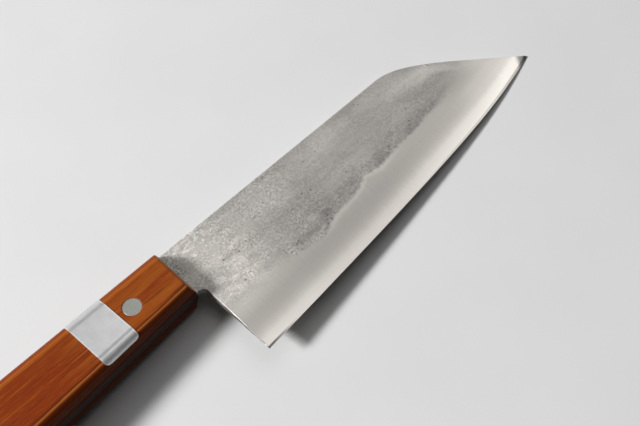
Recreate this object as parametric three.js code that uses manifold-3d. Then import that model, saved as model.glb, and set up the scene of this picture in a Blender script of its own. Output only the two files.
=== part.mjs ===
// Santoku knife: a three-layer blade with a full tang, two wooden scales, two rivets and a foil label.
// Millimetres. +X runs from butt to tip, +Y from edge to spine, +Z out of the knife's right side.
// The pieces are drawn with the front of the handle's broad faces at X = 0, the spine at Y = 0 and the
// blade's middle plane at Z = 0. The finished knife lies on Z = 0, its box centred in X and Y.
import * as THREE from "three";
import { mergeVertices } from "three/addons/utils/BufferGeometryUtils.js";
import Module from "manifold-3d";

const wasm = await Module();
wasm.setup();

const { clamp, degToRad, lerp } = THREE.MathUtils;

// Blade outline
const EDGE_LENGTH = 165; // straight from heel to tip
const HEEL_SETBACK = 5.5; // from the handle's broad faces to the heel
const HEEL_DEPTH = 52.1; // from the spine down to the heel
const TIP_DEPTH = 36; // from the spine down to the tip
const TIP_BLUNTNESS = 0.6; // height of the small end face at the tip
const SPINE_LENGTH = 116.5; // straight stretch, from the handle's broad faces to where the spine drops
const EDGE_HEEL_ANGLE = 3.2; // degrees at which the edge rises from the heel
const EDGE_TIP_ANGLE = 12.9; // and at which it reaches the tip
const DROP_TIP_ANGLE = 39.9; // degrees at which the spine drops into the tip
const NECK_HEIGHT = 19.9; // from the spine down to the lower edge of the neck
const CHOIL_RADIUS = 2.6; // hollow between neck and heel

// How far each end holds its direction along a curve, as a share of the curve's run
const EDGE_HEEL_PULL = 0.7;
const EDGE_TIP_PULL = 0.19;
const DROP_SPINE_PULL = 0.275;
const DROP_TIP_PULL = 0.405;
const BELLY_FRONT_PULL = 0.5;
const BELLY_BUTT_PULL = 0.2;

// Blade thickness and grind
const SPINE_THICKNESS = 3; // at the handle, and all through the tang
const TIP_THICKNESS = 1.3; // what the blade's flats taper to
const BEVEL_WIDTH = 19; // ground band above the edge
const BEVEL_BULGE = 0.4; // 0 is a flat bevel, 1 a fully rounded one
const EDGE_LAND = 0.16; // thickness left at the edge itself
const CORE_THICKNESS = 1; // hard middle layer, which the bevel lays bare along the edge
const CLADDING_END = 2.5; // height of each outer layer where it runs out near the tip
const GROUND_SHARE = 0.9; // most of a low section's height that its ground part takes

// Handle
const HANDLE_LENGTH = 120;
const HANDLE_THICKNESS = 17;
const FRONT_HEIGHT = 20.7;
const BUTT_HEIGHT = 26.5;
const BELLY_FRONT_ANGLE = 3.2; // degrees at which the belly leaves the front
const BUTT_SPINE_RADIUS = 10;
const BUTT_BELLY_RADIUS = 8;
const SPINE_ROUNDING = 5.2; // long edges of the scales along the spine
const FRONT_ROUNDING = 3.2; // long edges along the belly, at the front
const BUTT_ROUNDING = 5.6; // and at the butt
const FRONT_REACH = 2.3; // how far each scale's front slopes forward on its way down to the tang
const FRONT_FOOT = 0.6; // upright foot of that slope

// Rivets, each a tube with a head on the right and a pin with a head on the left
const FRONT_RIVET_SETBACK = 17.6; // behind the front of the handle's broad faces
const FRONT_RIVET_DEPTH = 12.1; // below the spine
const REAR_RIVET_SETBACK = 88;
const REAR_RIVET_DEPTH = 13.2;
const HEAD_RADIUS = 3.25;
const HEAD_THICKNESS = 1.6;
const TUBE_RADIUS = 2.5;
const TUBE_WALL = 0.8;
const RIVET_CLEARANCE = 0.1; // all round each rivet, and between its tube and pin
const TUBE_END_GAP = 0.5; // between the tube's end and the pin's head

// Label, over the right scale from the spine to the belly
const LABEL_SETBACK = 29.9; // of its middle
const LABEL_LENGTH = 14.1;
const LABEL_ANGLE = 3.2; // degrees that it is stuck on askew
const LABEL_SPINE_LAP = 3.4; // how far it reaches down over the scale's edge along the spine
const LABEL_BELLY_DEPTH = 21; // from the spine to its other end, on the edge along the belly
const LABEL_CORNER_RADIUS = 1.8;
const LABEL_THICKNESS = 0.15;
const GLUE_FILM = 0.03; // between label and wood

// Fineness of the curves
const BLADE_STATIONS = 42;
const BEVEL_STEPS = 8;
const OUTLINE_STEPS = 12;
const ROUNDING_STEPS = 8;
const ROUND_SIDES = 32;
const HALVINGS = 40; // of an interval, when looking for a place in it
const WELD = 1e-4; // distance below which two points are one

const HEEL = new THREE.Vector2(HEEL_SETBACK, -HEEL_DEPTH);
const TIP = new THREE.Vector2(
  HEEL.x + Math.sqrt(EDGE_LENGTH ** 2 - (HEEL_DEPTH - TIP_DEPTH) ** 2),
  -TIP_DEPTH,
);
const CORE_HALF = CORE_THICKNESS / 2;
const TANG_FACE = SPINE_THICKNESS / 2;
const BROAD_FACE = HANDLE_THICKNESS / 2;
const HEAD_SEAT = BROAD_FACE - HEAD_THICKNESS;
const FRONT_RIVET = new THREE.Vector2(-FRONT_RIVET_SETBACK, -FRONT_RIVET_DEPTH);
const REAR_RIVET = new THREE.Vector2(-REAR_RIVET_SETBACK, -REAR_RIVET_DEPTH);
const EDGE = edgeCurve();
const DROP = dropCurve();

// A closed geometry as a solid that can be joined and cut. Triangles that shrink to a line where
// two points of a ring meet are left out.
function solid(geometry) {
  const bare = geometry.clone();
  bare.deleteAttribute("normal");
  bare.deleteAttribute("uv");
  const merged = mergeVertices(bare, WELD);
  const corners = merged.index.array;
  const kept = [];
  for (let i = 0; i < corners.length; i += 3) {
    const [a, b, c] = corners.slice(i, i + 3);
    if (a !== b && b !== c && c !== a) {
      kept.push(a, b, c);
    }
  }
  const mesh = new wasm.Mesh({
    numProp: 3,
    vertProperties: merged.attributes.position.array,
    triVerts: new Uint32Array(kept),
  });
  return new wasm.Manifold(mesh);
}

// A finished piece: the solid as a named mesh.
function piece(name, body, material) {
  const { vertProperties, triVerts } = body.getMesh();
  const geometry = new THREE.BufferGeometry();
  geometry.setAttribute("position", new THREE.BufferAttribute(vertProperties, 3));
  geometry.setIndex(new THREE.BufferAttribute(triVerts, 1));
  geometry.computeVertexNormals();
  const mesh = new THREE.Mesh(geometry, material);
  mesh.name = name;
  return mesh;
}

// The same piece on the knife's left side.
function mirrored(name, mesh) {
  const twin = new THREE.Mesh(mesh.geometry, mesh.material);
  twin.name = name;
  twin.scale.z = -1;
  return twin;
}

// Evenly spaced values from one number to another, both included.
function steps(from, to, count) {
  return Array.from({ length: count + 1 }, (_, i) => lerp(from, to, i / count));
}

// A round bar across the handle, from one Z to another.
function bar(radius, from, to) {
  const geometry = new THREE.CylinderGeometry(radius, radius, to - from, ROUND_SIDES);
  return geometry.rotateX(Math.PI / 2).translate(0, 0, (from + to) / 2);
}

// A solid with the same round hole at each rivet.
function drilled(body, radius, from, to) {
  return [FRONT_RIVET, REAR_RIVET].reduce(
    (rest, spot) => rest.subtract(solid(bar(radius, from, to).translate(spot.x, spot.y, 0))),
    body,
  );
}

// A prism that runs past the whole height of the handle, from a shape drawn in X and Z.
function crossPrism(shape) {
  const geometry = new THREE.ExtrudeGeometry(shape, {
    depth: 4 * BUTT_HEIGHT,
    bevelEnabled: false,
    curveSegments: OUTLINE_STEPS,
  });
  return geometry.rotateX(Math.PI / 2).translate(0, 2 * BUTT_HEIGHT, 0);
}

// A prism from the blade's middle plane up past the right scale, from a shape drawn in X and Y.
function uprightPrism(shape) {
  return new THREE.ExtrudeGeometry(shape, {
    depth: HANDLE_THICKNESS,
    bevelEnabled: false,
    curveSegments: OUTLINE_STEPS,
  });
}

// A skin over rings of equally many points, closed by flat ends. Each ring runs anticlockwise as
// seen from the ring after it, and `fill` lists the triangles of a ring's flat face.
function loft(rings, fill) {
  const count = rings[0].length;
  const last = (rings.length - 1) * count;
  const index = fill(rings[0]).flatMap(([a, b, c]) => [c, b, a]);
  for (let start = 0; start < last; start += count) {
    for (let i = 0; i < count; i += 1) {
      const a = start + i;
      const b = start + ((i + 1) % count);
      index.push(a, b, b + count, a, b + count, a + count);
    }
  }
  index.push(...fill(rings.at(-1)).flatMap((face) => face.map((i) => last + i)));
  return solid(new THREE.BufferGeometry().setFromPoints(rings.flat()).setIndex(index));
}

// Face of a ring that goes down one side and up the other: rungs between opposite points.
function ladder(ring) {
  const faces = [];
  for (let i = 0; i < ring.length / 2 - 1; i += 1) {
    const across = ring.length - 1 - i;
    faces.push([i, i + 1, across - 1], [i, across - 1, across]);
  }
  return faces;
}

// Face of a level ring of any shape.
function level(ring) {
  return THREE.ShapeUtils.triangulateShape(ring, []);
}

// Cutting edge: nearly straight on from the heel, then sweeping up to the tip.
function edgeCurve() {
  const run = TIP.x - HEEL.x;
  const straight = EDGE_HEEL_PULL * run;
  const sweep = EDGE_TIP_PULL * run;
  const lift = straight * Math.tan(degToRad(EDGE_HEEL_ANGLE));
  const first = new THREE.Vector2(HEEL.x + straight, HEEL.y + lift);
  const second = new THREE.Vector2(TIP.x - sweep, TIP.y - sweep * Math.tan(degToRad(EDGE_TIP_ANGLE)));
  return new THREE.CubicBezierCurve(HEEL, first, second, TIP);
}

// Spine beyond its straight stretch: a soft bend, then a long drop to the tip.
function dropCurve() {
  const run = TIP.x - SPINE_LENGTH;
  const fall = DROP_TIP_PULL * run;
  const start = new THREE.Vector2(SPINE_LENGTH, 0);
  const first = new THREE.Vector2(SPINE_LENGTH + DROP_SPINE_PULL * run, 0);
  const second = new THREE.Vector2(TIP.x - fall, TIP.y + fall * Math.tan(degToRad(DROP_TIP_ANGLE)));
  const end = new THREE.Vector2(TIP.x, TIP.y + TIP_BLUNTNESS);
  return new THREE.CubicBezierCurve(start, first, second, end);
}

// Height of a curve that runs towards +X, at one X.
function heightAt(curve, x) {
  let low = 0;
  let high = 1;
  for (let i = 0; i < HALVINGS; i += 1) {
    const middle = (low + high) / 2;
    if (curve.getPoint(middle).x < x) {
      low = middle;
    } else {
      high = middle;
    }
  }
  return curve.getPoint(high).y;
}

// Half the blade's thickness at a height above the edge, where the flat is `flatHalf` thick.
function groundHalf(height, flatHalf) {
  const part = Math.min(height / BEVEL_WIDTH, 1);
  const rounded = 1 - (1 - part) ** 2;
  const share = lerp(part, rounded, BEVEL_BULGE);
  return lerp(EDGE_LAND / 2, flatHalf, share);
}

// Height above the edge up to which the bevel lays the core bare: groundHalf solved for the height.
function bareHeight(flatHalf) {
  const share = Math.min((CORE_HALF - EDGE_LAND / 2) / (flatHalf - EDGE_LAND / 2), 1);
  const slope = 1 + BEVEL_BULGE;
  return (BEVEL_WIDTH * 2 * share) / (slope + Math.sqrt(slope ** 2 - 4 * BEVEL_BULGE * share));
}

// The blade's measures at one X: edge height, depth up to the spine, half thickness of its flat, and
// how far up the core is bare.
function bladeAt(x) {
  const bottom = heightAt(EDGE, x);
  const top = x > SPINE_LENGTH ? heightAt(DROP, x) : 0;
  const along = (x - HEEL.x) / (TIP.x - HEEL.x);
  const flatHalf = lerp(SPINE_THICKNESS, TIP_THICKNESS, along) / 2;
  return { bottom, depth: top - bottom, flatHalf, bare: bareHeight(flatHalf) };
}

// Cross-section of one layer: down its outer side, then back up its inner side.
function layerSection(x, bottom, heights, outer, inner) {
  const down = heights.map((h) => new THREE.Vector3(x, bottom + h, outer(h)));
  const up = heights.map((h) => new THREE.Vector3(x, bottom + h, inner(h)));
  return [...down, ...up.reverse()];
}

// The core is ground on both sides where it is bare, and flat where it is covered.
function coreSection(x) {
  const { bottom, depth, flatHalf, bare } = bladeAt(x);
  const heights = [depth, ...steps(Math.min(bare, GROUND_SHARE * depth), 0, BEVEL_STEPS)];
  const half = (h) => Math.min(groundHalf(h, flatHalf), CORE_HALF);
  return layerSection(x, bottom, heights, half, (h) => -half(h));
}

// The right cladding lies flat against the core. Outside, its flat runs down into the convex bevel,
// which ends in a feather edge on the core.
function claddingSection(x) {
  const { bottom, depth, flatHalf, bare } = bladeAt(x);
  const bevelTop = Math.min(BEVEL_WIDTH, lerp(bare, depth, GROUND_SHARE));
  const heights = [depth, ...steps(bevelTop, bare, BEVEL_STEPS)];
  const ground = (h) => Math.max(groundHalf(h, flatHalf), CORE_HALF);
  return layerSection(x, bottom, heights, ground, () => CORE_HALF);
}

// X at which the cladding has run out to a narrow end below the spine.
function claddingEnd() {
  let covered = SPINE_LENGTH;
  let uncovered = TIP.x;
  for (let i = 0; i < HALVINGS; i += 1) {
    const x = (covered + uncovered) / 2;
    const { depth, bare } = bladeAt(x);
    if (depth - bare > CLADDING_END) {
      covered = x;
    } else {
      uncovered = x;
    }
  }
  return covered;
}

// Side outline of the handle, from one X on the spine side round the butt to another on the belly.
function handleOutline(spineFront, bellyFront) {
  const spineEnd = BUTT_SPINE_RADIUS - HANDLE_LENGTH;
  const bellyEnd = BUTT_BELLY_RADIUS - HANDLE_LENGTH;
  const bellyLift = BUTT_BELLY_RADIUS - BUTT_HEIGHT;
  const frontPull = BELLY_FRONT_PULL * bellyEnd;
  const frontDip = frontPull * Math.tan(degToRad(BELLY_FRONT_ANGLE)) - FRONT_HEIGHT;
  const buttPull = (1 - BELLY_BUTT_PULL) * bellyEnd;
  const outline = new THREE.Shape();
  outline.moveTo(spineFront, 0);
  outline.lineTo(spineEnd, 0);
  outline.absarc(spineEnd, -BUTT_SPINE_RADIUS, BUTT_SPINE_RADIUS, Math.PI / 2, Math.PI);
  outline.absarc(bellyEnd, bellyLift, BUTT_BELLY_RADIUS, Math.PI, 1.5 * Math.PI);
  outline.bezierCurveTo(buttPull, -BUTT_HEIGHT, frontPull, frontDip, 0, -FRONT_HEIGHT);
  outline.lineTo(bellyFront, -FRONT_HEIGHT);
  return outline;
}

// One layer of tang and neck: the handle's own outline up to the front of the scales, then the neck's
// lower edge and the choil's hollow down to the heel.
function tang(from, to) {
  const hollow = Math.min(CHOIL_RADIUS, HEEL.x - FRONT_REACH);
  const outline = handleOutline(HEEL.x, FRONT_REACH);
  outline.lineTo(FRONT_REACH, -NECK_HEIGHT);
  outline.absarc(HEEL.x - hollow, -NECK_HEIGHT - hollow, hollow, Math.PI / 2, 0, true);
  const plate = new THREE.ExtrudeGeometry(outline, {
    depth: to - from,
    bevelEnabled: false,
    curveSegments: OUTLINE_STEPS,
  });
  return solid(plate.translate(0, 0, from));
}

// One layer of the blade from the heel to `end`, in one with its layer of the drilled tang.
function steelLayer(section, end, from, to) {
  const blade = loft(steps(HEEL.x, end, BLADE_STATIONS).map(section), ladder);
  return drilled(blade.add(tang(from, to)), TUBE_RADIUS + RIVET_CLEARANCE, -BROAD_FACE, BROAD_FACE);
}

function core() {
  return steelLayer(coreSection, TIP.x, -CORE_HALF, CORE_HALF);
}

function cladding() {
  return steelLayer(claddingSection, claddingEnd(), CORE_HALF, TANG_FACE);
}

// Rounding of a scale's outer edge at a point of its outline.
function roundingAt(point) {
  const belly = lerp(FRONT_ROUNDING, BUTT_ROUNDING, -point.x / HANDLE_LENGTH);
  return lerp(SPINE_ROUNDING, belly, clamp(-point.y / FRONT_HEIGHT, 0, 1));
}

// Outward direction of the handle's outline at each point. At its two front corners this is
// straight up and straight down, so that the front stays flat.
function outwardNormals(points) {
  const inner = points.slice(1, -1).map((_, i) => {
    const before = points[i];
    const after = points[i + 2];
    return new THREE.Vector2(after.y - before.y, before.x - after.x).normalize();
  });
  return [new THREE.Vector2(0, 1), ...inner, new THREE.Vector2(0, -1)];
}

// A right-hand scale from its flat inner face to its rounded outer edges, grown all over by `skin`.
function roundedScale(skin) {
  const points = handleOutline(FRONT_REACH, FRONT_REACH).getPoints(OUTLINE_STEPS);
  const normals = outwardNormals(points);
  const rings = steps(0, Math.PI / 2, ROUNDING_STEPS).map((angle) =>
    points.map((point, i) => {
      const rounding = roundingAt(point);
      const out = (rounding + skin) * Math.cos(angle) - rounding;
      const height = (rounding + skin) * Math.sin(angle) - rounding;
      const at = point.clone().addScaledVector(normals[i], out);
      return new THREE.Vector3(at.x, at.y, BROAD_FACE + height);
    }),
  );
  const seat = rings[0].map((point) => point.clone().setZ(TANG_FACE));
  return loft([seat, ...rings], level);
}

// Wedge that leaves a right-hand scale's front sloping up from its foot to the broad face.
function frontWedge() {
  const foot = TANG_FACE + FRONT_FOOT;
  const rise = BROAD_FACE - foot;
  const shape = new THREE.Shape();
  shape.moveTo(2 * FRONT_REACH, foot - rise);
  shape.lineTo(2 * FRONT_REACH, BROAD_FACE + rise);
  shape.lineTo(-FRONT_REACH, BROAD_FACE + rise);
  return solid(crossPrism(shape));
}

// The right-hand scale, with a stepped hole for each rivet.
function scale() {
  const whole = roundedScale(0).subtract(frontWedge());
  const holed = drilled(whole, TUBE_RADIUS + RIVET_CLEARANCE, 0, HANDLE_THICKNESS);
  return drilled(holed, HEAD_RADIUS + RIVET_CLEARANCE, HEAD_SEAT, HANDLE_THICKNESS);
}

// Rivet half with its head on the right and a tube that passes through both scales and the tang.
function rivetTube() {
  const head = solid(bar(HEAD_RADIUS, HEAD_SEAT, BROAD_FACE));
  const tube = solid(bar(TUBE_RADIUS, TUBE_END_GAP - HEAD_SEAT, HEAD_SEAT));
  const bore = solid(bar(TUBE_RADIUS - TUBE_WALL, -BROAD_FACE, HEAD_SEAT));
  return head.add(tube.subtract(bore));
}

// Rivet half with its head on the left and a pin that reaches to the end of the tube's bore.
function rivetPin() {
  const head = solid(bar(HEAD_RADIUS, -BROAD_FACE, -HEAD_SEAT));
  const pin = solid(bar(TUBE_RADIUS - TUBE_WALL - RIVET_CLEARANCE, -HEAD_SEAT, HEAD_SEAT));
  return head.add(pin);
}

// Both halves of one rivet, set in its hole.
function rivet(name, spot) {
  const group = new THREE.Group();
  group.add(piece(`${name}_tube`, rivetTube(), rivetMaterial()));
  group.add(piece(`${name}_pin`, rivetPin(), rivetMaterial()));
  group.position.set(spot.x, spot.y, 0);
  return group;
}

// A strip as wide as the label, which ends below in two rounded corners.
function labelStrip(end) {
  const side = LABEL_LENGTH / 2;
  const cornerOut = side - LABEL_CORNER_RADIUS;
  const cornerUp = end + LABEL_CORNER_RADIUS;
  const strip = new THREE.Shape();
  strip.moveTo(side, BUTT_HEIGHT);
  strip.lineTo(-side, BUTT_HEIGHT);
  strip.absarc(-cornerOut, cornerUp, LABEL_CORNER_RADIUS, Math.PI, 1.5 * Math.PI);
  strip.absarc(cornerOut, cornerUp, LABEL_CORNER_RADIUS, 1.5 * Math.PI, 2 * Math.PI);
  return strip;
}

// Foil label: a thin shell over the right scale, cut to its rounded end by the spine, as drawn in X
// and Z, and to that by the belly, as drawn in X and Y.
function label() {
  const shell = roundedScale(GLUE_FILM + LABEL_THICKNESS).subtract(roundedScale(GLUE_FILM));
  const middle = -FRONT_HEIGHT / 2;
  const spineStrip = labelStrip(BROAD_FACE - LABEL_SPINE_LAP);
  const bellyStrip = labelStrip(-LABEL_BELLY_DEPTH - middle);
  return [crossPrism(spineStrip), uprightPrism(bellyStrip)].reduce((rest, prism) => {
    const turned = prism.rotateZ(degToRad(LABEL_ANGLE)).translate(-LABEL_SETBACK, middle, 0);
    return rest.intersect(solid(turned));
  }, shell);
}

function coreMaterial() {
  return new THREE.MeshStandardMaterial({ color: 0xc9cacb, roughness: 0.25, metalness: 1 });
}

function claddingMaterial() {
  return new THREE.MeshStandardMaterial({ color: 0x8f8c86, roughness: 0.5, metalness: 0.9 });
}

function woodMaterial() {
  return new THREE.MeshStandardMaterial({ color: 0xa65f2e, roughness: 0.55, metalness: 0 });
}

function rivetMaterial() {
  return new THREE.MeshStandardMaterial({ color: 0x9a9894, roughness: 0.4, metalness: 0.9 });
}

function labelMaterial() {
  return new THREE.MeshStandardMaterial({ color: 0xc4c4c2, roughness: 0.3, metalness: 0.8 });
}

function knife() {
  const rightCladding = piece("cladding_right", cladding(), claddingMaterial());
  const rightScale = piece("scale_right", scale(), woodMaterial());
  const group = new THREE.Group();
  group.add(
    piece("core_steel", core(), coreMaterial()),
    rightCladding,
    mirrored("cladding_left", rightCladding),
    rightScale,
    mirrored("scale_left", rightScale),
    rivet("rivet_front", FRONT_RIVET),
    rivet("rivet_rear", REAR_RIVET),
    piece("label", label(), labelMaterial()),
  );
  return group;
}

// Lays a group on Z = 0, with its box centred over the origin.
function settled(group) {
  const box = new THREE.Box3().setFromObject(group);
  const middle = box.getCenter(new THREE.Vector3());
  group.position.set(-middle.x, -middle.y, -box.min.z);
  return new THREE.Group().add(group);
}

export default settled(knife());
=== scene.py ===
import math

import bmesh
import bpy
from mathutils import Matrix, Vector, noise


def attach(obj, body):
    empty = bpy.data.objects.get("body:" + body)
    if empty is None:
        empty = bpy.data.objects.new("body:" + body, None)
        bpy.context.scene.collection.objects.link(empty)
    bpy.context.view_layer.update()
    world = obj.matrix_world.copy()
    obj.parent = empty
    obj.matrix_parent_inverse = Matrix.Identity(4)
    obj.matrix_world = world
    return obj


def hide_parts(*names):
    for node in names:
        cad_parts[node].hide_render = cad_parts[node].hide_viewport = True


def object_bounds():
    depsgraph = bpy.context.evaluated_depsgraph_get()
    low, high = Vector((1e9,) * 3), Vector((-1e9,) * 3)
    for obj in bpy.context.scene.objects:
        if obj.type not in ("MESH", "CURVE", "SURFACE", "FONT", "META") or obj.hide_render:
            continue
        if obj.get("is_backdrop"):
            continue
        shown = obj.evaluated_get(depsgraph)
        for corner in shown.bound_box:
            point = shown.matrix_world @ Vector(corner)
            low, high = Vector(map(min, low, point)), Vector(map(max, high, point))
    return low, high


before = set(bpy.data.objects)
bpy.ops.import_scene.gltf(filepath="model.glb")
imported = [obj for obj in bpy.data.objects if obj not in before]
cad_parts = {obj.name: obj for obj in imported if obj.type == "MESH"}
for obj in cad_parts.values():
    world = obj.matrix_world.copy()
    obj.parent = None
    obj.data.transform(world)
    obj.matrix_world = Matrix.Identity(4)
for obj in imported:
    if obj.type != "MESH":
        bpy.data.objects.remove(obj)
CAD_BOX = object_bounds()

# Blade outline and thickness
EDGE_LENGTH = 165.0
HEEL = Vector((5.5, -52.1))
TIP_DEPTH = 36.0
TIP_BLUNTNESS = 0.25
SPINE_LENGTH = 116.5
EDGE_PULLS = (0.7, 0.19)
EDGE_HEEL_SLOPE = math.tan(math.radians(3.2))
EDGE_TIP_SLOPE = math.tan(math.radians(12.9))
DROP_PULLS = (0.275, 0.405)
DROP_TIP_SLOPE = math.tan(math.radians(39.9))
NECK_HEIGHT = 19.9
CHOIL_RADIUS = 2.6
SPINE_THICKNESS = 3.0
TIP_THICKNESS = 1.3
BEVEL_BULGE = 0.4
EDGE_LAND = 0.16
CORE_HALF = 0.5
EASE = 0.28  # rounding of the blade's long edges
EASE_MOST = (0.5, 0.3)  # most that it takes of the half thickness and of the blade's height
HEEL_LOSS = 0.18  # share of its thickness that the blade loses at the edge of its rear face
CHOIL_FADE = 2.0  # height below the choil over which that loss sets in
HONED_WIDTHS = (  # narrow last bevel along the edge, as X and width
    (5.5, 0.85), (32, 0.4), (85, 0.4), (112, 0.85), (150, 1.05), (171, 1.1),
)
HONED_HALF = 0.03
HONED_MOST = 0.2  # share of the blade's height that the honed strip takes at most
REAR_DULL_AND_SHADE = 0.45  # how far the heel's rear face is darkened: painted shade that dims its highlight, and a less polished finish

# Wavy upper line of the bevel on each side, as X and Y
GRIND_LINES = {
    1: (
        (5, -32.4), (20, -32), (30, -32), (34.5, -32.8), (37, -34.6), (43, -35.2),
        (48, -35.8), (52, -34.6), (57, -33), (62, -32.2), (68, -31.6), (73, -30.8),
        (76, -29.4), (78, -28), (81, -29), (85, -29.9), (90, -29.3), (95, -28.5),
        (105, -28), (112, -27.4), (118, -26.6), (125, -25.8), (132, -24.4), (137, -22.2),
        (142, -20.8), (150, -19), (170, -16),
    ),
    -1: (
        (5, -33), (14, -32.2), (22, -33.4), (31, -32.6), (38, -31.2), (44, -32.4),
        (53, -31), (60, -31.8), (69, -30.2), (78, -31.4), (86, -33.2), (93, -34),
        (99, -31.8), (106, -28.9), (114, -28.2), (121, -26), (130, -25.6), (140, -22.6),
        (150, -20), (170, -16),
    ),
}
LEAST_FLAT = 0.08  # share of the blade's height that the flat keeps towards the tip

# Layers of the blade
CORE_WAVER = 0.2  # unevenness of the bright band along the edge, as a share of its width
WAVER_LENGTH = 16.0
CORE_MOST = 0.8  # share of the spine's thickness that the core takes at most when covered
CORE_UNCOVERED = 0.96  # the same share where the outer layers are gone
CORE_EASE = 0.05  # share of the spine's rounding that the core has when covered
BAND_LEAST = 1.2  # least height of the bare band, in honed strips
BAND_ROOM = 0.35  # share of the way from the spine to the band's top that its rows leave free
CREASE_SHARES = (0.3, 0.9)  # of an outer layer's height, between which its bevel rows end
CLADDING_RUNOUT = (145.0, 159.0)  # X where the outer layers start to end, and where they are gone
RUNOUT_GAP = 0.3  # by which, at least, their last section stops short of that

# Handle
HANDLE_LENGTH = 120.0
BROAD_FACE = 8.5
TANG_FACE = 1.5
FRONT_HEIGHT = 20.7
BUTT_HEIGHT = 26.5
BELLY_FRONT_SLOPE = math.tan(math.radians(3.2))
BELLY_PULLS = (0.5, 0.2)
BUTT_SPINE_RADIUS = 10.0
BUTT_BELLY_RADIUS = 8.0
SPINE_ROUNDING = 5.2
FRONT_ROUNDING = 3.2
BUTT_ROUNDING = 5.6
FRONT_REACH = 2.3  # how far each scale's front slopes forward on its way down
FRONT_FOOT = 0.6
FRONT_EASE = 0.4  # rounding where the broad face meets that slope
FRONT_CORNER = 0.5  # rounding of the front's corners
BELLY_CORNER = 1.2  # what it grows to on the belly side, down by the tang
JOINT_EASE = 0.1  # fine groove between wood and tang
FACE_RIM = 0.4  # even strip of mesh round each broad face
OUTLINE_FRONT = -3.0  # X where the drawn outline stops and the front's corners take over

# Rivets
RIVETS = {"front": (-17.6, -12.1), "rear": (-88.0, -13.2)}
HEAD_RADIUS = 3.25
HEAD_SEAT = 6.9
HEAD_DOME = 0.03
HEAD_EASE = 0.12
HEAD_GAP = 0.04  # round each head
HOLE_EASE = 0.06  # rounding of the wood round that gap
HOLE_RIM = 0.6  # even strip of mesh round each hole
HOLE_FLOOR = 0.4  # share of a hole's radius at which its floor has a ring
TUBE_RADIUS = 2.5
TUBE_END = -6.4
BORE_RADIUS = 1.7
CLEARANCE = 0.1  # between tube and pin
AXIS_GAP = 0.1  # radius of the flat end of a turned profile

# Label
LABEL_MIDDLE = -29.9
LABEL_LENGTH = 14.1
LABEL_SPINE_LAP = 3.4
LABEL_BELLY_DEPTH = 21.75
LABEL_CORNER = 1.8
LABEL_THICKNESS = 0.15
GLUE_FILM = 0.03
LABEL_SKEW = math.tan(math.radians(3.2))

# Fineness of the meshes
HALVINGS = 40  # in the search for a curve's height
BLADE_STEPS = 190
HEEL_SHARES = (0, 0.1, 0.3, 0.6, 1)  # of EASE, at which the heel's rounding has sections
EVEN_START = 1.3  # of EASE, at which the even sections start
TIP_GAP = 0.01  # by which the blade's last section stops short of the tip
BEVEL_ROWS = 20
FLAT_ROWS = 14
EASE_ROWS = 4
CORE_ROWS = 8
NECK_STEPS = 6
NECK_SHARE = 0.9  # of the way from the scales to the choil, which those steps cover
BELLY_STEPS = 80
ROUNDING_STEPS = 18
CORNER_STEPS = 7
ARC_STEPS = 14
ROUND_SIDES = 72
DOME_SHARES = (0.05, 0.3, 0.55, 0.8, 1.0)  # of a head's flat radius, at which it has rings
LABEL_ROWS = 16
LABEL_COLUMNS = 20

# Camera, in the drawing's millimetres, and stage, in metres
CAMERA_PLACE = (-66.37, -143.42, 257.79)
CAMERA_AZIMUTH = -46.36
CAMERA_ELEVATION = 56.89
CAMERA_LENS = 47.78
SENSOR_WIDTH = 36.0
CLIP_START = 0.01
FLOOR_FADE = (0.2, 0.6)  # distances from the handle's front over which lamplight gives way
FLOOR_FAR = 0.69  # even tone of the floor further off
FLOOR_NEAR = (0.612, 0.628)  # tones of its mottle in the lamplight
FLOOR_THROWN = 0.1  # its tone in the light that it throws back
FLOOR_FLAT = 4.0  # radius of its flat part
FLOOR_RIM = 5.0  # how far out and up its rim then curves

# Light: places and sizes in metres
KEY_PLACE = (-1.68, 0.928, 1.158)
KEY_AIM = (0, 0, 0)
KEY_SIZE = 0.4
KEY_WATTS = 84.5
TOP_PLACE = (0.70, 0.40, 1.29)
TOP_AIM = (0.02, 0, 0)
TOP_SIZE = 1.5
TOP_WATTS = 7.0
WORLD_STRENGTH = 0.06

# Stretches of the blade in X, over which one look gives way to the next
HEEL_FADE = (22, 40)
TAPER_FADE = (60, 115)
TIP_FADE = (124, 142)

# Brightness of the bevel by height above the edge, and its gain by X
BEVEL_SHADES = (
    (0, 0.74), (1, 0.71), (2, 0.69), (3.5, 0.65), (5, 0.54), (6, 0.48),
    (8, 0.41), (10, 0.39), (12, 0.385), (14, 0.405), (17, 0.425), (20, 0.44),
)
BEVEL_GAINS = (
    (8, 1.18), (20, 1.09), (30, 1.05), (40, 0.99), (60, 0.955), (80, 0.975), (100, 1.07),
    (120, 1.17), (132, 1.23), (142, 1.32), (150, 1.38), (154, 1.45), (160, 1.46),
)

# By X: how far the bevel darkens towards its top, and the honed strip's gain
UPPER_DROPS = ((88, 0), (110, 0.45), (124, 0.62), (136, 1), (142, 0.95), (154, 0.1))
HONED_GAINS = (
    (8, 0.22), (20, 1), (28, 1.1), (50, 1.1), (85, 0.98), (110, 0.82),
    (132, 0.76), (142, 0.70), (150, 0.6), (157, 0.52), (163, 0.5),
)

# By X: depth of the flat's dark patches, light below the spine and below its drop, and how much
# nearer to the spine the latter lies
PATCH_GAINS = (
    (20, 0.4), (36, 0.4), (44, 1), (50, 1.55), (62, 2), (70, 1.3), (80, 0.9),
    (90, 0.6), (100, 1), (112, 0.8), (130, 0.6),
)
SPINE_GLOWS = ((10, 0.03), (30, 0.065), (90, 0.065), (116, 0.035), (150, 0.03))
DROP_GLOWS = ((110, 0), (120, 0.08), (128, 0.12), (136, 0.19), (142, 0.12), (148, 0))
DROP_SHIFTS = ((112, 0), (120, 0), (128, 2), (130, 3), (136, 6.5))
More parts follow.
